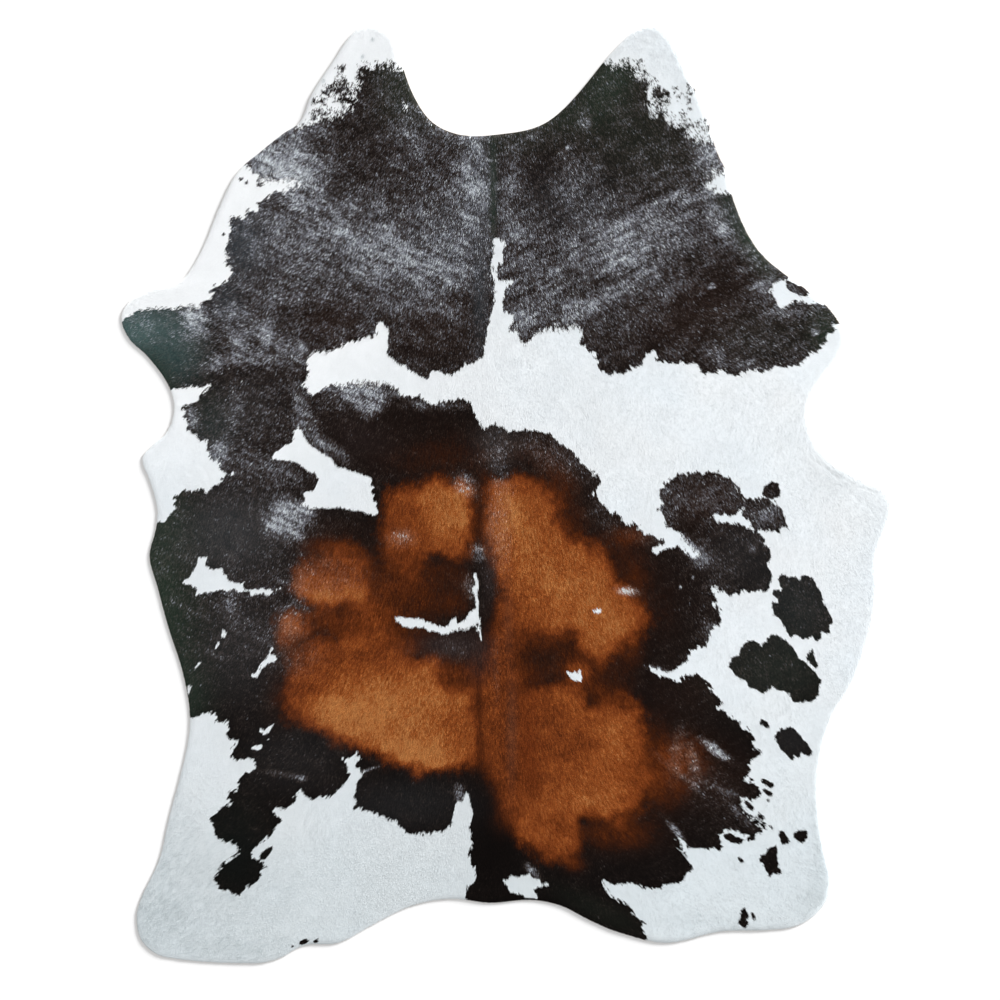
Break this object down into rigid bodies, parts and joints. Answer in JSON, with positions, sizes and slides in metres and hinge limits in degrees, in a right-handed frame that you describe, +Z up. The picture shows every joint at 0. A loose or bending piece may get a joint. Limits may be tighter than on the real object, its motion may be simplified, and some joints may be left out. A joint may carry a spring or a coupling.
{
  "type": "cowhide rug",
  "caption": "Whole cowhide rug with its hair on, trimmed to the animal's own outline and lying flat.",
  "frame": {"origin": "on the floor, under the middle of the hide's bounding box", "axes": "+Y along the spine towards the neck, +X to the right seen from above, +Z up, out of the hair"},
  "size_m": [1.808, 2.206, 0.0072],
  "materials": {
    "hair_on_hide": "short flat-lying cow hair, black-brown and tan with white patches, on tanned skin"
  },
  "bodies": {
    "root": {"hide": "hair_on_hide"}
  },
  "joints": []
}
